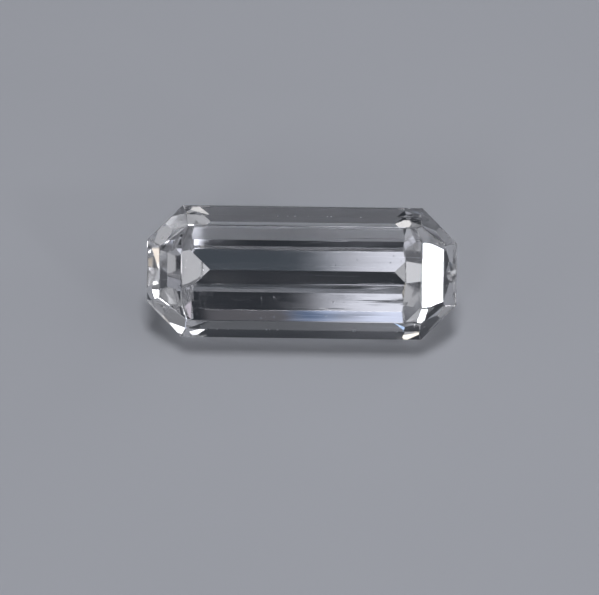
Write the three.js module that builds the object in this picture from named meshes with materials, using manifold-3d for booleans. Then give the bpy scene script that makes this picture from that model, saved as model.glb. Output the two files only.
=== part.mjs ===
// A whewellite gemstone: one clear crystal in a step cut, long and narrow, with cut corners and a keel.
// Millimetres, +Z up. It is cut upright, with its table level, and then turned to lie as a loose stone lies,
// on the long middle facet of its near side. The origin is at the bottom centre of the stone at rest.
import * as THREE from 'three';
import { mergeVertices } from 'three/addons/utils/BufferGeometryUtils.js';
import Module from 'manifold-3d';

const wasm = await Module();
wasm.setup();

// Outline of the girdle, the stone's widest line, seen from above
const LENGTH = 10.0;
const WIDTH = 4.26;
const CORNER_CUT = 1.134;
const GIRDLE_THICKNESS = 0.08;

// Crown, the part above the girdle. Its top is the table, a long flat octagon.
const CROWN_HEIGHT = 0.97;
const TABLE_LENGTH = 7.67;
const TABLE_WIDTH = 3.034;
const TABLE_CORNER_REACH = 3.958;

// Facet angles are measured from the level girdle plane, in degrees.
const CROWN_OUTER_END_ANGLE = 58;
const CROWN_OUTER_SIDE_ANGLE = 61;
const CROWN_OUTER_RIGHT_CORNER_ANGLE = 65;
const CROWN_INNER_END_ANGLE = 20;
const CROWN_INNER_SIDE_ANGLE = 54;
const CROWN_INNER_CORNER_ANGLE = 21.3;

// At the right-hand end a small facet stands between the inner and outer ones of each corner. Its reach is
// where its plane comes up to the table's height.
const CROWN_BREAK_ANGLE = 24.8;
const CROWN_BREAK_AZIMUTH = 20.5;
const CROWN_BREAK_REACH = 4.0;

// Pavilion, the part below the girdle. It comes down in three steps to the keel, a level edge.
// The corners at its right-hand end are cut flatter than those at its left. On the crown they are steeper.
const PAVILION_DEPTH = 2.71;
const KEEL_LENGTH = 6.03;
const UPPER_STEP_DEPTH = 1.143;
const UPPER_SIDE_ANGLE = 64;
const UPPER_END_ANGLE = 65.1;
const UPPER_RIGHT_CORNER_ANGLE = 57.2;
const UPPER_LEFT_CORNER_ANGLE = 62.4;
const MIDDLE_SIDE_ANGLE = 50;
const MIDDLE_END_ANGLE = 57;
const MIDDLE_RIGHT_CORNER_ANGLE = 55.5;
const MIDDLE_LEFT_CORNER_ANGLE = 59.5;
const KEEL_SIDE_ANGLE = 41.5;
const KEEL_END_ANGLE = 41;

// Directions that the facets face, as angles round the stone from its right-hand end
const END_AZIMUTHS = [0, 180];
const SIDE_AZIMUTHS = [90, 270];
const RIGHT_CORNER_AZIMUTHS = [45, 315];
const LEFT_CORNER_AZIMUTHS = [135, 225];
const BREAK_AZIMUTHS = [CROWN_BREAK_AZIMUTH, 360 - CROWN_BREAK_AZIMUTH];
const TABLE_CORNER_AZIMUTH = 21;
const TABLE_CORNER_AZIMUTHS = [
  TABLE_CORNER_AZIMUTH,
  180 - TABLE_CORNER_AZIMUTH,
  180 + TABLE_CORNER_AZIMUTH,
  360 - TABLE_CORNER_AZIMUTH,
];

// The rough block is left this much deeper than the stone, so that the keel is ground sharp from both sides.
const ROUGH_ALLOWANCE = 0.5;

// The lap is the flat wheel that grinds each facet. It is wider than the whole stone, and its middle is set to
// one side, so that the stone meets plain face and not the line down the middle of the wheel.
const LAP_SIZE = 60;
const LAP_OFFSET = LAP_SIZE / 4;

// The stone lies on its middle side facet, so that facet's angle is the tilt of the table.
const REST_TILT = MIDDLE_SIDE_ANGLE;

// Makes a geometry a solid that can be cut, once its shared corners are merged.
function toSolid(geometry) {
  const bare = geometry.clone();
  bare.deleteAttribute('normal');
  bare.deleteAttribute('uv');
  const merged = mergeVertices(bare, 1e-5);
  const mesh = new wasm.Mesh({
    numProp: 3,
    vertProperties: new Float32Array(merged.attributes.position.array),
    triVerts: new Uint32Array(merged.index.array),
  });
  return new wasm.Manifold(mesh);
}

// Makes a solid a geometry again, with flat shading so that each facet stays plane.
function toGeometry(solid) {
  const mesh = solid.getMesh();
  const geometry = new THREE.BufferGeometry();
  geometry.setAttribute('position', new THREE.BufferAttribute(new Float32Array(mesh.vertProperties), 3));
  geometry.setIndex(new THREE.BufferAttribute(new Uint32Array(mesh.triVerts), 1));
  const flat = geometry.toNonIndexed();
  flat.computeVertexNormals();
  return flat;
}

// The preform is an upright prism of the girdle's outline, a rectangle with its corners cut at 45 degrees.
function preform() {
  const x = LENGTH / 2;
  const y = WIDTH / 2;
  const outline = new THREE.Shape([
    new THREE.Vector2(x, y - CORNER_CUT),
    new THREE.Vector2(x - CORNER_CUT, y),
    new THREE.Vector2(CORNER_CUT - x, y),
    new THREE.Vector2(-x, y - CORNER_CUT),
    new THREE.Vector2(-x, CORNER_CUT - y),
    new THREE.Vector2(CORNER_CUT - x, -y),
    new THREE.Vector2(x - CORNER_CUT, -y),
    new THREE.Vector2(x, CORNER_CUT - y),
  ]);
  const bottom = -GIRDLE_THICKNESS / 2 - PAVILION_DEPTH - ROUGH_ALLOWANCE;
  const depth = GIRDLE_THICKNESS / 2 + CROWN_HEIGHT - bottom;
  const prism = new THREE.ExtrudeGeometry(outline, { depth, bevelEnabled: false });
  return toSolid(prism.translate(0, 0, bottom));
}

// One facet is ground by a lap that meets the stone at a given reach from its upright axis and a given height.
// side is 1 for a facet of the crown, which faces up, and -1 for one of the pavilion, which faces down.
function grindFacet(stone, azimuth, angle, reach, height, side) {
  const turn = THREE.MathUtils.degToRad(azimuth);
  const slope = THREE.MathUtils.degToRad(angle);
  const outward = new THREE.Vector3(Math.cos(turn), Math.sin(turn), 0);
  const facing = outward.clone().multiplyScalar(Math.sin(slope));
  facing.z = side * Math.cos(slope);
  const contact = outward.multiplyScalar(reach);
  contact.z = height;
  const lap = new THREE.BoxGeometry(LAP_SIZE, LAP_SIZE, LAP_SIZE);
  lap.translate(LAP_SIZE / 2, LAP_OFFSET, 0);
  lap.applyQuaternion(new THREE.Quaternion().setFromUnitVectors(new THREE.Vector3(1, 0, 0), facing));
  lap.translate(contact.x, contact.y, contact.z);
  return stone.subtract(toSolid(lap));
}

// A row of like facets, one for each direction that they face
function grindRow(stone, row) {
  return row.azimuths.reduce(
    (worked, azimuth) => grindFacet(worked, azimuth, row.angle, row.reach, row.height, row.side),
    stone,
  );
}

// Horizontal run of a facet that drops by a given depth
function run(depth, angle) {
  return depth / Math.tan(THREE.MathUtils.degToRad(angle));
}

// Reach of the girdle's cut corners from the axis
const CORNER_REACH = (LENGTH / 2 + WIDTH / 2 - CORNER_CUT) * Math.SQRT1_2;

// Where the table's cut corners meet its long sides, along the stone
const TABLE_CORNER_TURN = THREE.MathUtils.degToRad(TABLE_CORNER_AZIMUTH);
const TABLE_CORNER_X =
  (TABLE_CORNER_REACH - (TABLE_WIDTH / 2) * Math.sin(TABLE_CORNER_TURN)) / Math.cos(TABLE_CORNER_TURN);

// The outer corner facets of the left-hand end rise just to those points, so that four facets meet at each.
const LEFT_CORNER_RUN = CORNER_REACH - (TABLE_CORNER_X + TABLE_WIDTH / 2) * Math.SQRT1_2;
const CROWN_OUTER_LEFT_CORNER_ANGLE = THREE.MathUtils.radToDeg(Math.atan2(CROWN_HEIGHT, LEFT_CORNER_RUN));

// The crown's outer facets rise from the girdle, and its inner facets come down from the table's edges.
const GIRDLE_TOP = GIRDLE_THICKNESS / 2;
const TABLE_TOP = GIRDLE_TOP + CROWN_HEIGHT;
const crownRows = [
  { azimuths: END_AZIMUTHS, angle: CROWN_OUTER_END_ANGLE, reach: LENGTH / 2, height: GIRDLE_TOP },
  { azimuths: SIDE_AZIMUTHS, angle: CROWN_OUTER_SIDE_ANGLE, reach: WIDTH / 2, height: GIRDLE_TOP },
  {
    azimuths: RIGHT_CORNER_AZIMUTHS,
    angle: CROWN_OUTER_RIGHT_CORNER_ANGLE,
    reach: CORNER_REACH,
    height: GIRDLE_TOP,
  },
  {
    azimuths: LEFT_CORNER_AZIMUTHS,
    angle: CROWN_OUTER_LEFT_CORNER_ANGLE,
    reach: CORNER_REACH,
    height: GIRDLE_TOP,
  },
  { azimuths: END_AZIMUTHS, angle: CROWN_INNER_END_ANGLE, reach: TABLE_LENGTH / 2, height: TABLE_TOP },
  { azimuths: SIDE_AZIMUTHS, angle: CROWN_INNER_SIDE_ANGLE, reach: TABLE_WIDTH / 2, height: TABLE_TOP },
  {
    azimuths: TABLE_CORNER_AZIMUTHS,
    angle: CROWN_INNER_CORNER_ANGLE,
    reach: TABLE_CORNER_REACH,
    height: TABLE_TOP,
  },
  { azimuths: BREAK_AZIMUTHS, angle: CROWN_BREAK_ANGLE, reach: CROWN_BREAK_REACH, height: TABLE_TOP },
];

// The pavilion's upper facets fall from the girdle and its middle ones from the upper step. The lowest ones
// come down to the keel.
const GIRDLE_BOTTOM = -GIRDLE_THICKNESS / 2;
const UPPER_STEP = GIRDLE_BOTTOM - UPPER_STEP_DEPTH;
const KEEL_HEIGHT = GIRDLE_BOTTOM - PAVILION_DEPTH;
const pavilionRows = [
  { azimuths: END_AZIMUTHS, angle: UPPER_END_ANGLE, reach: LENGTH / 2, height: GIRDLE_BOTTOM },
  { azimuths: SIDE_AZIMUTHS, angle: UPPER_SIDE_ANGLE, reach: WIDTH / 2, height: GIRDLE_BOTTOM },
  {
    azimuths: RIGHT_CORNER_AZIMUTHS,
    angle: UPPER_RIGHT_CORNER_ANGLE,
    reach: CORNER_REACH,
    height: GIRDLE_BOTTOM,
  },
  {
    azimuths: LEFT_CORNER_AZIMUTHS,
    angle: UPPER_LEFT_CORNER_ANGLE,
    reach: CORNER_REACH,
    height: GIRDLE_BOTTOM,
  },
  {
    azimuths: END_AZIMUTHS,
    angle: MIDDLE_END_ANGLE,
    reach: LENGTH / 2 - run(UPPER_STEP_DEPTH, UPPER_END_ANGLE),
    height: UPPER_STEP,
  },
  {
    azimuths: SIDE_AZIMUTHS,
    angle: MIDDLE_SIDE_ANGLE,
    reach: WIDTH / 2 - run(UPPER_STEP_DEPTH, UPPER_SIDE_ANGLE),
    height: UPPER_STEP,
  },
  {
    azimuths: RIGHT_CORNER_AZIMUTHS,
    angle: MIDDLE_RIGHT_CORNER_ANGLE,
    reach: CORNER_REACH - run(UPPER_STEP_DEPTH, UPPER_RIGHT_CORNER_ANGLE),
    height: UPPER_STEP,
  },
  {
    azimuths: LEFT_CORNER_AZIMUTHS,
    angle: MIDDLE_LEFT_CORNER_ANGLE,
    reach: CORNER_REACH - run(UPPER_STEP_DEPTH, UPPER_LEFT_CORNER_ANGLE),
    height: UPPER_STEP,
  },
  { azimuths: END_AZIMUTHS, angle: KEEL_END_ANGLE, reach: KEEL_LENGTH / 2, height: KEEL_HEIGHT },
  { azimuths: SIDE_AZIMUTHS, angle: KEEL_SIDE_ANGLE, reach: 0, height: KEEL_HEIGHT },
];

// The whole stone, upright
function cutStone() {
  const rows = [
    ...crownRows.map((row) => ({ ...row, side: 1 })),
    ...pavilionRows.map((row) => ({ ...row, side: -1 })),
  ];
  return toGeometry(rows.reduce(grindRow, preform()));
}

// Clear, colourless and polished
const crystal = new THREE.MeshStandardMaterial({
  color: new THREE.Color(0.93, 0.93, 0.92),
  roughness: 0.06,
  metalness: 0,
  transparent: true,
  opacity: 0.45,
  flatShading: true,
});

const stone = new THREE.Mesh(cutStone(), crystal);
stone.name = 'whewellite_gemstone';
stone.rotation.x = THREE.MathUtils.degToRad(REST_TILT);

// At rest the stone's lowest face is on the ground and its middle is over the origin.
const box = new THREE.Box3().setFromObject(stone, true);
const middle = box.getCenter(new THREE.Vector3());
stone.position.set(-middle.x, -middle.y, -box.min.z);

const gemstone = new THREE.Group();
gemstone.add(stone);

export default gemstone;
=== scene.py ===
"""A cut whewellite gemstone, lying loose on a pale table under soft studio light.

The stone is one clear crystal in a step cut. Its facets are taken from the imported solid. The edges of its
crown are rounded by a few hundredths of a millimetre and those below it hardly at all, and its polish has
the wear of a very soft mineral. Sizes are in metres unless a name ends in _mm or _mm2, and the frame is the
solid's own.
"""
import logging
import math
from dataclasses import dataclass, field
from enum import Enum
from typing import Any, Union

import bpy
import numpy as np
from mathutils import Matrix, Vector


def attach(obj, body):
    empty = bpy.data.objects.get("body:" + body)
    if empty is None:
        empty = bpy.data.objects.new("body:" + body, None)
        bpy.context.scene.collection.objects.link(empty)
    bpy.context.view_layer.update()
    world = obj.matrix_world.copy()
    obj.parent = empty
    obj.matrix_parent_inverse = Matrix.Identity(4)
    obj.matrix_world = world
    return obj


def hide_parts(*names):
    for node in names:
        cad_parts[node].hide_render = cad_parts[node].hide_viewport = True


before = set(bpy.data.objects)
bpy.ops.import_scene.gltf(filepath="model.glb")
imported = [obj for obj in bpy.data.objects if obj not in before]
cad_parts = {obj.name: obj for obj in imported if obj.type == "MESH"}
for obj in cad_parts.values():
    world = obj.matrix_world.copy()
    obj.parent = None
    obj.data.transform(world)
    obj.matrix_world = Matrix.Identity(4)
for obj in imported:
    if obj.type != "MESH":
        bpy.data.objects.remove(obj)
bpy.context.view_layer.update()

MM = 0.001
LOG = logging.getLogger("gemstone")

Socket = bpy.types.NodeSocket
Value = Union[float, Socket]
Triple = tuple[float, float, float]
Colour = tuple[float, float, float, float]


class Slot(Enum):
    """Material slots that the record names."""

    CRYSTAL = "crystal"


class Operation(Enum):
    """Sums that a shader node can work out from one or two values."""

    ADD = "ADD"
    SUBTRACT = "SUBTRACT"
    MULTIPLY = "MULTIPLY"
    LARGER = "MAXIMUM"
    SMALLER = "MINIMUM"
    SIZE = "ABSOLUTE"
    BELOW = "LESS_THAN"


class MixSocket(Enum):
    """Numbers of a colour mix's sockets, whose names aren't unique."""

    SHARE = 0
    FIRST = 6
    SECOND = 7
    RESULT = 2


class Tint(Enum):
    """Colours of the lamps."""

    DAYLIGHT = (0.94, 0.95, 1.0)
    COOL = (0.87, 0.89, 1.0)
    SKY = (0.66, 0.82, 1.0)
    BLUE = (0.5, 0.68, 1.0)
    DEEP_BLUE = (0.3, 0.52, 1.0)
    LILAC_BLUE = (0.74, 0.8, 1.0)
    LILAC = (0.95, 0.88, 1.0)
    PALE_LILAC = (0.97, 0.92, 1.0)
    SOFT_WHITE = (1.0, 0.98, 0.97)
    WARM_WHITE = (1.0, 0.97, 0.96)
    CREAM = (1.0, 0.94, 0.84)
    TAN = (1.0, 0.88, 0.74)
    DEEP_TAN = (1.0, 0.86, 0.72)


@dataclass(frozen=True)
class GirdlePlane:
    """The middle plane of the girdle, the stone's widest line, as the stone lies."""

    tilt_deg: float = 50.0
    middle_y_mm: float = -0.1789
    middle_z_mm: float = 1.9652

    def facing(self) -> np.ndarray:
        """Direction from the plane towards the table of the stone, one long."""
        tilt = math.radians(self.tilt_deg)
        return np.array([0.0, -math.sin(tilt), math.cos(tilt)])

    def reach(self) -> float:
        """Distance of the plane from the origin along that direction."""
        return float(self.facing() @ np.array([0.0, self.middle_y_mm, self.middle_z_mm])) * MM


@dataclass(frozen=True)
class Grain:
    """A pattern of soft noise.

    Its fineness is the number of its cells in a metre along X, Y and Z. The noise counts between its two
    levels and is held at them beyond. The turns, in radians, only choose another part of the pattern.
    """

    fineness: Triple
    detail: float
    low: float = 0.0
    high: float = 1.0
    turn: Triple = (0.0, 0.0, 0.0)


@dataclass
class NodeSheet:
    """One shader node tree, with short ways to add nodes and wire them."""

    tree: bpy.types.NodeTree

    def add(self, kind: str, **settings: Any) -> bpy.types.Node:
        """Add a node.

        Args:
            kind: The node's class name, without its Shader Node prefix.
            settings: The node's own properties, by name.

        Returns:
            The new node.
        """
        node = self.tree.nodes.new("ShaderNode" + kind)
        for name, value in settings.items():
            setattr(node, name, value)
        return node

    def wire(self, source: Socket, target: Socket) -> None:
        """Join an output to an input."""
        self.tree.links.new(source, target)

    def feed(self, target: Socket, value: Value) -> None:
        """Set an input to a plain value, or wire it where the value is an output."""
        if isinstance(value, Socket):
            self.wire(value, target)
        else:
            target.default_value = value

    def place(self) -> Socket:
        """Output with the place on the piece, in the piece's own coordinates."""
        return self.add("TexCoord").outputs["Object"]

    def reckon(self, operation: Operation, first: Value, second: Value = 0.0, clamp: bool = False) -> Socket:
        """Work out a value from one or two others.

        Args:
            operation: The sum.
            first: A number or an output.
            second: A number or an output, which a sum of one value leaves out.
            clamp: Whether the result is kept between 0 and 1.

        Returns:
            The result's output.
        """
        node = self.add("Math", operation=operation.value, use_clamp=clamp)
        self.feed(node.inputs[0], first)
        self.feed(node.inputs[1], second)
        return node.outputs[0]

    def times(self, first: Value, second: Value) -> Socket:
        """Product of two values."""
        return self.reckon(Operation.MULTIPLY, first, second)

    def less(self, first: Value, second: Value) -> Socket:
        """First value less the second."""
        return self.reckon(Operation.SUBTRACT, first, second)

    def larger(self, first: Value, second: Value) -> Socket:
        """Larger of two values."""
        return self.reckon(Operation.LARGER, first, second)

    def remap(self, value: Socket, low: float, high: float, at_low: float, at_high: float) -> Socket:
        """Carry a value from one range to another, and hold it at the ends.

        Args:
            value: The output that is carried over.
            low: Start of the range that it comes from.
            high: End of the range that it comes from.
            at_low: What the start becomes.
            at_high: What the end becomes.

        Returns:
            The result's output.
        """
        node = self.add("MapRange", clamp=True)
        for socket, number in zip(node.inputs[0:5], (value, low, high, at_low, at_high)):
            self.feed(socket, number)
        return node.outputs[0]

    def stretch(self, where: Socket, fineness: Triple, turn: Triple = (0.0, 0.0, 0.0)) -> Socket:
        """Stretch and then turn a pattern's coordinates.

        Args:
            where: The output with the coordinates.
            fineness: Stretch along X, Y and Z.
            turn: Turns about X, Y and Z, in radians.

        Returns:
            The output with the new coordinates.
        """
        node = self.add("Mapping", vector_type="POINT")
        self.wire(where, node.inputs["Vector"])
        node.inputs["Scale"].default_value = fineness
        node.inputs["Rotation"].default_value = turn
        return node.outputs["Vector"]

    def noise(self, where: Socket, grain: Grain) -> Socket:
        """Add a pattern of soft noise.

        Args:
            where: The output with the place on the piece.
            grain: The pattern.

        Returns:
            The noise's output, whose middle value is a half.
        """
        node = self.add("TexNoise", noise_dimensions="3D")
        self.wire(self.stretch(where, grain.fineness, grain.turn), node.inputs["Vector"])
        node.inputs["Scale"].default_value = 1.0
        node.inputs["Detail"].default_value = grain.detail
        return node.outputs[0]

    def graded(self, where: Socket, grain: Grain, at_low: float, at_high: float) -> Socket:
        """Add a pattern of soft noise and carry its two levels to two values.

        Args:
            where: The output with the place on the piece.
            grain: The pattern.
            at_low: What the pattern's lower level becomes.
            at_high: What its higher level becomes.

        Returns:
            The result's output.
        """
        return self.remap(self.noise(where, grain), grain.low, grain.high, at_low, at_high)


@dataclass(frozen=True)
class WornPolish:
    """The polish of a soft, clear crystal, as a node group.

    The facets are very slightly wavy, and the waves are longer along the stone than across it. The open
    polish lies in soft clouds between clean and faintly hazy. Scratches are thin level lines of noise that
    is stretched thirty to one. Dust and pits are round spots, in patches. The step of the crown is nicked,
    and the narrow belt of the girdle is dull from the wheel.
    """

    name: str = "worn_polish"
    girdle: GirdlePlane = GirdlePlane()
    girdle_half_mm: float = 0.036
    girdle_chip_mm: float = 0.06
    crown_step_mm: float = 0.5755
    crown_chip_mm: float = 0.045
    polish_roughness: float = 0.015
    haze_roughness: float = 0.045
    dust_roughness: float = 0.35
    girdle_roughness: float = 0.32
    scratch_depth: float = 0.6
    mark_share: float = 0.4
    dust_fineness: float = 3600.0
    dust_core: float = 0.04
    dust_rim: float = 0.12
    waves: Grain = Grain((350.0, 1500.0, 1500.0), detail=1.0)
    haze: Grain = Grain((900.0, 900.0, 900.0), detail=4.0, low=0.42, high=0.7)
    scratches: Grain = Grain((300.0, 9000.0, 9000.0), detail=2.0, low=0.66, high=0.76, turn=(0.3, 0.2, 0.5))
    dust_patches: Grain = Grain((1300.0, 1300.0, 1300.0), detail=3.0, low=0.53, high=0.65)
    chips: Grain = Grain((7000.0, 7000.0, 7000.0), detail=3.0, low=0.62, high=0.78)

    def build(self) -> bpy.types.NodeTree:
        """Make the group.

        Its roughness is the largest of the haze's, the dust's and the belts'. Its relief is the height of
        the waves less a share of the scratches and the dust.

        Returns:
            A node tree whose outputs are Roughness and Relief.
        """
        tree = bpy.data.node_groups.new(self.name, "ShaderNodeTree")
        tree.interface.new_socket("Roughness", in_out="OUTPUT", socket_type="NodeSocketFloat")
        tree.interface.new_socket("Relief", in_out="OUTPUT", socket_type="NodeSocketFloat")
        sheet = NodeSheet(tree)
        where = sheet.place()
        haze = sheet.graded(where, self.haze, self.polish_roughness, self.haze_roughness)
        dust = self._dust(sheet, where)
        scratches = sheet.graded(where, self.scratches, 0.0, self.scratch_depth)
        girdle = self._belt(sheet, where, 0.0, self.girdle_half_mm, self.girdle_chip_mm)
        step = self._belt(sheet, where, self.crown_step_mm, 0.0, self.crown_chip_mm)
        rough = sheet.larger(haze, sheet.times(dust, self.dust_roughness))
        rough = sheet.larger(rough, sheet.times(sheet.larger(girdle, step), self.girdle_roughness))
        marks = sheet.times(sheet.reckon(Operation.ADD, scratches, dust, clamp=True), self.mark_share)
        relief = sheet.less(sheet.noise(where, self.waves), marks)
        out = tree.nodes.new("NodeGroupOutput")
        sheet.wire(rough, out.inputs["Roughness"])
        sheet.wire(relief, out.inputs["Relief"])
        return tree

    def _dust(self, sheet: NodeSheet, where: Socket) -> Socket:
        """Add the mask of the dust and pits.

        It is 1 near the middle of each cell of a cell pattern and falls to 0 at a spot's rim. The spots
        show only where the noise of their patches is high.

        Args:
            sheet: The group's sheet.
            where: The output with the place on the stone.

        Returns:
            The mask's output.
        """
        cells = sheet.add("TexVoronoi", voronoi_dimensions="3D", feature="F1")
        sheet.wire(sheet.stretch(where, (self.dust_fineness,) * 3), cells.inputs["Vector"])
        cells.inputs["Scale"].default_value = 1.0
        spots = sheet.remap(cells.outputs["Distance"], self.dust_core, self.dust_rim, 1.0, 0.0)
        return sheet.times(spots, sheet.graded(where, self.dust_patches, 0.0, 1.0))

    def _belt(
        self, sheet: NodeSheet, where: Socket, height_mm: float, half_mm: float, chip_mm: float
    ) -> Socket:
        """Add the mask of a level belt round the stone and the chips along it.

        It is 1 where the distance from the belt's middle is under half its width. Where the chips' noise is
        high, a little more is bitten out of its edges.

        Args:
            sheet: The group's sheet.
            where: The output with the place on the stone.
            height_mm: Height of the belt's middle over the girdle's, towards the table.
            half_mm: Half of the belt's width.
            chip_mm: How far the largest chips go beyond it.

        Returns:
            The mask's output.
        """
        along = sheet.add("VectorMath", operation="DOT_PRODUCT")
        sheet.wire(where, along.inputs[0])
        along.inputs[1].default_value = self.girdle.facing()
        middle = self.girdle.reach() + height_mm * MM
        away = sheet.reckon(Operation.SIZE, sheet.less(along.outputs["Value"], middle))
        edge = sheet.graded(where, self.chips, half_mm * MM, (half_mm + chip_mm) * MM)
        return sheet.reckon(Operation.BELOW, away, edge)


@dataclass(frozen=True)
class ClearCrystal:
    """Clear, colourless crystal: a refracting shell round a body that takes up a trace of light."""

    name: str = "clear_crystal"
    refractive_index: float = 1.6
    body_colour: Colour = (0.972, 0.97, 0.97, 1.0)
    body_density: float = 200.0
    relief_depth_mm: float = 0.0016
    polish: WornPolish = WornPolish()

    def build(self) -> bpy.types.Material:
        """Make the material.

        Returns:
            The material, with the wear's group wired to its roughness and relief.
        """
        material = bpy.data.materials.new(self.name)
        material.use_nodes = True
        material.node_tree.nodes.clear()
        sheet = NodeSheet(material.node_tree)
        wear = sheet.add("Group", node_tree=self.polish.build())
        relief = sheet.add("Bump")
        relief.inputs["Strength"].default_value = 1.0
        relief.inputs["Distance"].default_value = self.relief_depth_mm * MM
        sheet.wire(wear.outputs["Relief"], relief.inputs["Height"])
        shell = sheet.add("BsdfPrincipled")
        shell.inputs["Base Color"].default_value = (1.0, 1.0, 1.0, 1.0)
        shell.inputs["Transmission Weight"].default_value = 1.0
        shell.inputs["IOR"].default_value = self.refractive_index
        sheet.wire(wear.outputs["Roughness"], shell.inputs["Roughness"])
        sheet.wire(relief.outputs["Normal"], shell.inputs["Normal"])
        body = sheet.add("VolumeAbsorption")
        body.inputs["Color"].default_value = self.body_colour
        body.inputs["Density"].default_value = self.body_density
        out = sheet.add("OutputMaterial")
        sheet.wire(shell.outputs["BSDF"], out.inputs["Surface"])
        sheet.wire(body.outputs["Volume"], out.inputs["Volume"])
        return material


@dataclass
class CutStone:
    """The gemstone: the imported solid's facets as whole polygons, with their edges slightly rounded."""

    node: str = "whewellite_gemstone"
    name: str = "cut_crystal"
    body: str = "root"
    weld_mm: float = 0.005
    plane_mm: float = 0.004
    sliver_mm2: float = 0.001
    same_direction: float = 0.99999
    facets_to_a_corner: int = 3
    crown_round_mm: float = 0.026
    pavilion_round_mm: float = 0.001
    edge_steps: int = 2
    girdle: GirdlePlane = GirdlePlane()
    finish: ClearCrystal = ClearCrystal()

    def _triangles(self) -> np.ndarray:
        """Corners of the solid's triangles, as an array of triangle by corner by coordinate."""
        node = bpy.data.objects[self.node]
        mesh = node.data
        mesh.calc_loop_triangles()
        points = np.empty(len(mesh.vertices) * 3)
        mesh.vertices.foreach_get("co", points)
        place = np.array(node.matrix_world)
        points = points.reshape(-1, 3) @ place[:3, :3].T + place[:3, 3]
        corners = np.empty(len(mesh.loop_triangles) * 3, dtype=np.int32)
        mesh.loop_triangles.foreach_get("vertices", corners)
        return points[corners.reshape(-1, 3)]

    def _planes(self, triangles: np.ndarray) -> tuple[np.ndarray, np.ndarray]:
        """Planes that the triangles lie in.

        A triangle's direction is the cross product of two of its edges, made one long. Triangles are one
        facet where their directions agree and their corners are as far from the origin along them. The
        largest triangle of a facet gives its plane. Slivers are passed over, because their three corners
        are nearly in line and give no sure direction.

        Args:
            triangles: Corners of the triangles.

        Returns:
            The planes' outward directions, and their distances from the origin along them.
        """
        across = np.cross(triangles[:, 1] - triangles[:, 0], triangles[:, 2] - triangles[:, 0])
        doubled_area = np.linalg.norm(across, axis=1)
        largest_first = np.argsort(-doubled_area)
        largest_first = largest_first[doubled_area[largest_first] > 2.0 * self.sliver_mm2 * MM**2]
        facing = across[largest_first] / doubled_area[largest_first, None]
        reach = np.einsum("ij,ij->i", facing, triangles[largest_first, 0])
        same_way = facing @ facing.T > self.same_direction
        same_reach = np.abs(reach[:, None] - reach[None]) < self.plane_mm * MM
        first = np.unique(np.argmax(same_way & same_reach, axis=1))
        return facing[first], reach[first]

    def _corners(self, triangles: np.ndarray) -> np.ndarray:
        """The stone's own corners: the triangles' corners, with those closer than the weld made one."""
        loose = triangles.reshape(-1, 3)
        apart = np.linalg.norm(loose[:, None] - loose[None], axis=2)
        first = np.argmax(apart < self.weld_mm * MM, axis=1)
        return loose[np.unique(first)]

    def _outline(self, points: np.ndarray, direction: np.ndarray) -> list[int]:
        """Order of a facet's corners, anticlockwise seen from outside.

        Each corner's angle is taken round the middle of the facet, between two directions in its plane.

        Args:
            points: The facet's corners.
            direction: The facet's outward direction.

        Returns:
            Numbers of the corners, in order.
        """
        spoke = points - points.mean(axis=0)
        along = spoke[0] / np.linalg.norm(spoke[0])
        over = np.cross(direction, along)
        return np.argsort(np.arctan2(spoke @ over, spoke @ along)).tolist()

    def build(self) -> bpy.types.Object:
        """Make the stone's mesh.

        A corner is kept where three facets or more meet, and left out where it only splits an edge.

        Returns:
            The stone, one polygon to a facet, with a live bevel on its edges.
        """
        triangles = self._triangles()
        directions, distances = self._planes(triangles)
        corners = self._corners(triangles)
        on_plane = np.abs(corners @ directions.T - distances) < self.plane_mm * MM
        meets = on_plane.sum(axis=1) >= self.facets_to_a_corner
        corners = corners[meets]
        on_plane = on_plane[meets]
        facets = []
        for number, direction in enumerate(directions):
            members = np.flatnonzero(on_plane[:, number])
            facets.append(members[self._outline(corners[members], direction)].tolist())
        mesh = bpy.data.meshes.new(self.name)
        mesh.from_pydata(corners.tolist(), [], facets)
        mesh.validate()
        stone = bpy.data.objects.new(self.name, mesh)
        bpy.context.scene.collection.objects.link(stone)
        self._weigh_edges(mesh)
        rounding = stone.modifiers.new("worn_edges", "BEVEL")
        rounding.width = self.crown_round_mm * MM
        rounding.segments = self.edge_steps
        rounding.limit_method = "WEIGHT"
        LOG.info("%s: %d facets, %d corners", self.name, len(facets), len(corners))
        return stone

    def _weigh_edges(self, mesh: bpy.types.Mesh) -> None:
        """Say how round each edge is worn.

        An edge whose middle is above the girdle's plane has weight one. The others have the pavilion's
        rounding over the crown's as their weight.

        Args:
            mesh: The stone's mesh.
        """
        points = np.empty(len(mesh.vertices) * 3)
        mesh.vertices.foreach_get("co", points)
        ends = np.empty(len(mesh.edges) * 2, dtype=np.int32)
        mesh.edges.foreach_get("vertices", ends)
        middles = points.reshape(-1, 3)[ends.reshape(-1, 2)].mean(axis=1)
        above = middles @ self.girdle.facing() > self.girdle.reach()
        weights = np.where(above, 1.0, self.pavilion_round_mm / self.crown_round_mm)
        layer = mesh.attributes.new("bevel_weight_edge", "FLOAT", "EDGE")
        layer.data.foreach_set("value", weights.astype(np.float32))

    def dress(self, stone: bpy.types.Object) -> None:
        """Give the stone its finish and its place in the record."""
        stone.data.materials.append(self.finish.build())
        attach(stone, self.body)
        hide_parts(self.node)


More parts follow.
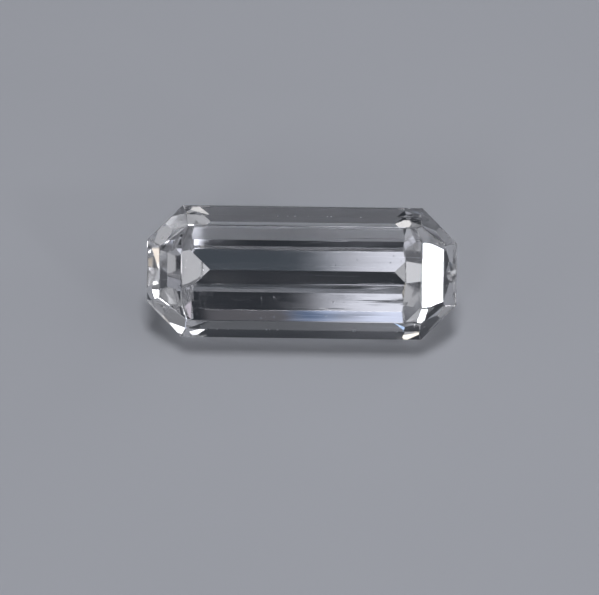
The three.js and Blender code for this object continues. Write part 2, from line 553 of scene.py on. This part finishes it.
@dataclass(frozen=True)
class PaleTable:
    """Finish of the table under the stone: a plain pale surface with a very fine, faint grain."""

    name: str = "pale_table"
    light: Colour = (0.615, 0.625, 0.65, 1.0)
    dark: Colour = (0.585, 0.595, 0.62, 1.0)
    roughness: float = 0.6
    shine: float = 0.2
    grain: Grain = Grain((90.0, 90.0, 90.0), detail=3.0)

    def build(self) -> bpy.types.Material:
        """Make the material."""
        material = bpy.data.materials.new(self.name)
        material.use_nodes = True
        sheet = NodeSheet(material.node_tree)
        shell = material.node_tree.nodes["Principled BSDF"]
        tone = sheet.add("Mix", data_type="RGBA")
        sheet.wire(sheet.noise(sheet.place(), self.grain), tone.inputs[MixSocket.SHARE.value])
        tone.inputs[MixSocket.FIRST.value].default_value = self.dark
        tone.inputs[MixSocket.SECOND.value].default_value = self.light
        sheet.wire(tone.outputs[MixSocket.RESULT.value], shell.inputs["Base Color"])
        shell.inputs["Roughness"].default_value = self.roughness
        shell.inputs["Specular IOR Level"].default_value = self.shine
        return material


@dataclass
class Table:
    """The floor: a level round table top whose rim turns up a little, so that low views end on it."""

    name: str = "floor"
    drop_mm: float = 0.02
    flat_radius: float = 0.34
    rim_radius: float = 0.44
    rim_height: float = 0.05
    rings: int = 24
    spokes: int = 96
    finish: PaleTable = PaleTable()

    def build(self) -> bpy.types.Object:
        """Make the table.

        The height is zero out to the flat part's radius. From there it rises as the square of the way to
        the rim. The grid of rings and spokes is that profile carried once round the middle.

        Returns:
            The table.
        """
        way = np.linspace(0.0, 1.0, self.rings + 1)
        rise = way[1:]
        rim = self.flat_radius + rise * (self.rim_radius - self.flat_radius)
        radius = np.concatenate([way * self.flat_radius, rim])
        height = np.concatenate([np.zeros_like(way), self.rim_height * rise**2]) - self.drop_mm * MM
        turn = np.linspace(0.0, 2.0 * np.pi, self.spokes, endpoint=False)
        x = radius[1:, None] * np.cos(turn)
        y = radius[1:, None] * np.sin(turn)
        z = np.broadcast_to(height[1:, None], x.shape)
        grid = np.stack([x, y, z], axis=-1).reshape(-1, 3)
        points = np.concatenate([[[0.0, 0.0, height[0]]], grid])
        ring = np.arange(len(radius) - 2)[:, None] * self.spokes + 1
        here = np.arange(self.spokes)
        after = (here + 1) % self.spokes
        quads = np.stack(
            [ring + here, ring + self.spokes + here, ring + self.spokes + after, ring + after], axis=-1
        ).reshape(-1, 4)
        hub = np.stack([np.zeros_like(here), here + 1, after + 1], axis=-1)
        mesh = bpy.data.meshes.new(self.name)
        mesh.from_pydata(points.tolist(), [], quads.tolist() + hub.tolist())
        mesh.polygons.foreach_set("use_smooth", np.ones(len(mesh.polygons), dtype=bool))
        table = bpy.data.objects.new(self.name, mesh)
        bpy.context.scene.collection.objects.link(table)
        table.data.materials.append(self.finish.build())
        LOG.info("%s: %d faces", self.name, len(mesh.polygons))
        return table


@dataclass(frozen=True)
class Softbox:
    """One flat panel of light that faces the stone.

    Its azimuth is counted from the camera's side towards the right, and its elevation up from the table.
    Its brightness is the radiance of its face. A fade is the share of its width or height, counted from
    either edge, over which its light comes up.
    """

    name: str
    azimuth_deg: float
    elevation_deg: float
    distance: float
    width: float
    height: float
    brightness: float
    tint: Tint = Tint.DAYLIGHT
    side_fade: float = 0.0
    top_fade: float = 0.0

    @classmethod
    def over(
        cls,
        name: str,
        azimuths: tuple[float, float],
        elevations: tuple[float, float],
        distance: float,
        brightness: float,
        tint: Tint = Tint.DAYLIGHT,
        side_fade: float = 0.0,
        top_fade: float = 0.0,
    ) -> "Softbox":
        """Describe a panel by the patch of sky that it covers.

        Half of the panel's width is its distance times the tangent of half the angle that it covers.

        Args:
            name: The lamp's name.
            azimuths: Azimuths of its left and right edges, in degrees.
            elevations: Elevations of its lower and upper edges, in degrees.
            distance: Distance of its middle from the stone.
            brightness: Radiance of its face.
            tint: Its colour.
            side_fade: Share of its width over which each side fades.
            top_fade: Share of its height over which its lower and upper edges fade.

        Returns:
            The panel.
        """
        half_turn = math.radians(azimuths[1] - azimuths[0]) / 2.0
        half_rise = math.radians(elevations[1] - elevations[0]) / 2.0
        elevation = (elevations[0] + elevations[1]) / 2.0
        return cls(
            name=name,
            azimuth_deg=(azimuths[0] + azimuths[1]) / 2.0,
            elevation_deg=elevation,
            distance=distance,
            width=2.0 * distance * math.tan(half_turn) * math.cos(math.radians(elevation)),
            height=2.0 * distance * math.tan(half_rise),
            brightness=brightness,
            tint=tint,
            side_fade=side_fade,
            top_fade=top_fade,
        )

    def _fade(self, light: bpy.types.Light) -> None:
        """Let the panel's light fall off smoothly towards its edges.

        Across the panel the light is the product of two ramps, one for each way, and a ramp is the distance
        from the nearer edge over the fade's width, eased at both ends.

        Args:
            light: The lamp's light.
        """
        light.use_nodes = True
        sheet = NodeSheet(light.node_tree)
        emission = light.node_tree.nodes["Emission"]
        face = sheet.add("SeparateXYZ")
        sheet.wire(sheet.add("NewGeometry").outputs["Parametric"], face.inputs[0])
        strength: Value = 1.0
        for across, fade in ((face.outputs[0], self.side_fade), (face.outputs[1], self.top_fade)):
            if fade > 0.0:
                nearer = sheet.reckon(Operation.SMALLER, across, sheet.less(1.0, across))
                ramp = sheet.add("MapRange", interpolation_type="SMOOTHSTEP", clamp=True)
                sheet.wire(nearer, ramp.inputs["Value"])
                ramp.inputs["From Max"].default_value = fade
                strength = sheet.times(strength, ramp.outputs[0])
        sheet.feed(emission.inputs["Strength"], strength)

    def build(self, aim: Vector) -> bpy.types.Object:
        """Hang the panel.

        The lamp's power is four times its area times its brightness.

        Args:
            aim: Point that the panel faces.

        Returns:
            The lamp.
        """
        azimuth = math.radians(self.azimuth_deg)
        elevation = math.radians(self.elevation_deg)
        level = math.cos(elevation)
        away = Vector((math.sin(azimuth) * level, -math.cos(azimuth) * level, math.sin(elevation)))
        light = bpy.data.lights.new(self.name, "AREA")
        light.shape = "RECTANGLE"
        light.size = self.width
        light.size_y = self.height
        light.energy = 4.0 * self.width * self.height * self.brightness
        light.color = self.tint.value
        if self.side_fade > 0.0 or self.top_fade > 0.0:
            self._fade(light)
        lamp = bpy.data.objects.new(self.name, light)
        lamp.location = aim + away * self.distance
        lamp.rotation_euler = away.to_track_quat("Z", "Y").to_euler()
        bpy.context.scene.collection.objects.link(lamp)
        LOG.info("%s hung", self.name)
        return lamp


@dataclass(frozen=True)
class PhotoCamera:
    """The camera, placed as the photograph was taken."""

    name: str = "photo_camera"
    place_mm: Triple = (1.030, -78.594, 73.981)
    azimuth_deg: float = 0.805
    elevation_deg: float = 42.996
    roll_deg: float = 0.219
    lens_mm: float = 198.33
    sensor_mm: float = 36.0
    nearest: float = 0.005
    farthest: float = 2.0

    def build(self) -> bpy.types.Object:
        """Set the camera up and make it the scene's own.

        It is rolled about its own line of sight, tipped up from straight down by a right angle less its
        elevation, and then turned by its azimuth.

        Returns:
            The camera.
        """
        lens = bpy.data.cameras.new(self.name)
        lens.lens = self.lens_mm
        lens.sensor_width = self.sensor_mm
        lens.sensor_fit = "HORIZONTAL"
        lens.clip_start = self.nearest
        lens.clip_end = self.farthest
        camera = bpy.data.objects.new(self.name, lens)
        turn = (
            Matrix.Rotation(math.radians(self.azimuth_deg), 4, "Z")
            @ Matrix.Rotation(math.radians(90.0 - self.elevation_deg), 4, "X")
            @ Matrix.Rotation(math.radians(self.roll_deg), 4, "Z")
        )
        camera.matrix_world = Matrix.Translation(Vector(self.place_mm) * MM) @ turn
        bpy.context.scene.collection.objects.link(camera)
        bpy.context.scene.camera = camera
        return camera


# The key lamps give the glare at the right-hand end, and the overhead one the even light on the floor. The
# strips, fills and other wide panels are what the bands and the end facets look at. Each glint lamp is meant
# for one small bright spot or soft patch in the camera's view.
LAMPS = (
    Softbox.over("key_softbox_high", (46.6, 50.2), (24.6, 28.8), 0.30, 24.0),
    Softbox.over("key_softbox_low", (40.8, 43.4), (12.1, 14.9), 0.30, 24.0),
    Softbox("overhead_softbox", 0.0, 90.0, distance=0.30, width=0.085, height=0.085, brightness=10.0),
    Softbox.over(
        "front_strip_low", (-1.0, 13.0), (14.0, 31.0), 0.31, 0.66, Tint.COOL, side_fade=0.2, top_fade=0.1
    ),
    Softbox.over("front_strip_high", (-1.5, 13.0), (38.1, 44.5), 0.31, 0.72, Tint.COOL, side_fade=0.2),
    Softbox.over("left_front_fill", (-22.0, 0.6), (13.0, 30.0), 0.33, 0.04, Tint.SKY),
    Softbox.over("right_front_fill", (14.0, 31.3), (7.0, 45.0), 0.33, 0.36),
    Softbox.over("right_front_edge", (31.3, 53.0), (7.0, 45.0), 0.34, 0.13),
    Softbox.over("right_fill", (53.0, 105.0), (6.0, 58.0), 0.33, 0.38),
    Softbox.over("back_right_fill", (105.0, 150.0), (8.0, 58.0), 0.33, 0.22),
    Softbox.over(
        "high_back_softbox", (110.0, 180.8), (65.5, 76.0), 0.31, 0.8, Tint.LILAC_BLUE, side_fade=0.08
    ),
    Softbox.over("back_blue_edge", (178.6, 182.6), (65.5, 71.0), 0.31, 0.14, Tint.DEEP_BLUE, side_fade=0.3),
    Softbox.over("back_haze", (181.0, 188.0), (65.5, 71.0), 0.31, 0.07, Tint.PALE_LILAC, side_fade=0.15),
    Softbox.over("back_fill", (145.0, 215.0), (57.5, 65.3), 0.31, 0.05),
    Softbox.over("left_softbox", (-67.0, -50.0), (15.0, 36.0), 0.31, 0.55, top_fade=0.15),
    Softbox.over("left_front_glint", (-33.0, -26.0), (29.0, 37.0), 0.31, 0.5),
    Softbox.over("left_tan_glint", (-47.0, -43.5), (24.6, 27.4), 0.31, 0.42, Tint.TAN),
    Softbox.over("left_fill", (-120.0, -67.0), (5.0, 40.0), 0.33, 0.2),
    Softbox.over("back_glint", (141.0, 147.0), (30.0, 37.0), 0.32, 1.6),
    Softbox.over("high_front_fill", (5.0, 25.0), (71.5, 79.0), 0.31, 0.24, Tint.COOL),
    Softbox.over("corner_glint", (38.4, 39.7), (41.5, 46.5), 0.30, 1.3, side_fade=0.3),
    Softbox.over("far_left_glint", (-154.5, -149.5), (13.0, 18.5), 0.31, 1.1, Tint.CREAM),
    Softbox.over("low_right_glint", (129.5, 134.5), (1.2, 7.0), 0.31, 0.55, Tint.COOL),
    Softbox.over("low_left_glint", (-88.5, -85.0), (14.5, 18.0), 0.31, 0.55, Tint.WARM_WHITE),
    Softbox.over("top_left_glint", (34.6, 37.2), (13.6, 16.2), 0.30, 0.5, Tint.SOFT_WHITE),
    Softbox.over("left_high_glint", (-5.8, -4.15), (45.6, 48.2), 0.30, 1.8, Tint.COOL, side_fade=0.2),
    Softbox.over("edge_light", (-24.0, -15.0), (21.0, 31.0), 0.31, 6.0),
    Softbox.over("low_back_glint", (148.5, 155.0), (5.5, 10.0), 0.32, 0.5, Tint.LILAC),
    Softbox.over("tan_glint", (41.2, 44.6), (9.2, 12.0), 0.30, 0.7, Tint.DEEP_TAN),
    Softbox.over("right_glint", (52.6, 54.2), (22.6, 24.6), 0.30, 2.0),
    Softbox.over("front_glint", (46.0, 54.0), (43.0, 49.0), 0.30, 1.3),
    Softbox.over("blue_glint", (-44.0, -37.0), (47.0, 53.0), 0.30, 0.9, Tint.BLUE),
)


@dataclass
class Studio:
    """The table, the lamps, the dim room and the camera."""

    aim: Vector = field(default_factory=lambda: Vector((0.0, 0.0, 0.002)))
    room: Colour = (0.024, 0.027, 0.033, 1.0)
    light_bounces: int = 24
    table: Table = field(default_factory=Table)
    camera: PhotoCamera = PhotoCamera()
    lamps: tuple[Softbox, ...] = LAMPS

    def build(self) -> None:
        """Put everything up, and let light turn often enough inside the stone to find its way out."""
        self.camera.build()
        self.table.build()
        for lamp in self.lamps:
            lamp.build(self.aim)
        scene = bpy.context.scene
        world = bpy.data.worlds.new("dim_room")
        world.use_nodes = True
        world.node_tree.nodes["Background"].inputs["Color"].default_value = self.room
        scene.world = world
        scene.view_settings.view_transform = "Standard"
        scene.cycles.max_bounces = self.light_bounces
        scene.cycles.glossy_bounces = self.light_bounces
        scene.cycles.transmission_bounces = self.light_bounces
        LOG.info("studio: %d lamps", len(self.lamps))


def main() -> None:
    """Build the studio and the stone, and give the stone its finish."""
    logging.basicConfig(level=logging.INFO, format="%(message)s")
    Studio().build()
    stone_maker = CutStone()
    stone = stone_maker.build()
    stone_maker.dress(stone)
    bpy.context.view_layer.update()


if __name__ == "__main__":
    main()
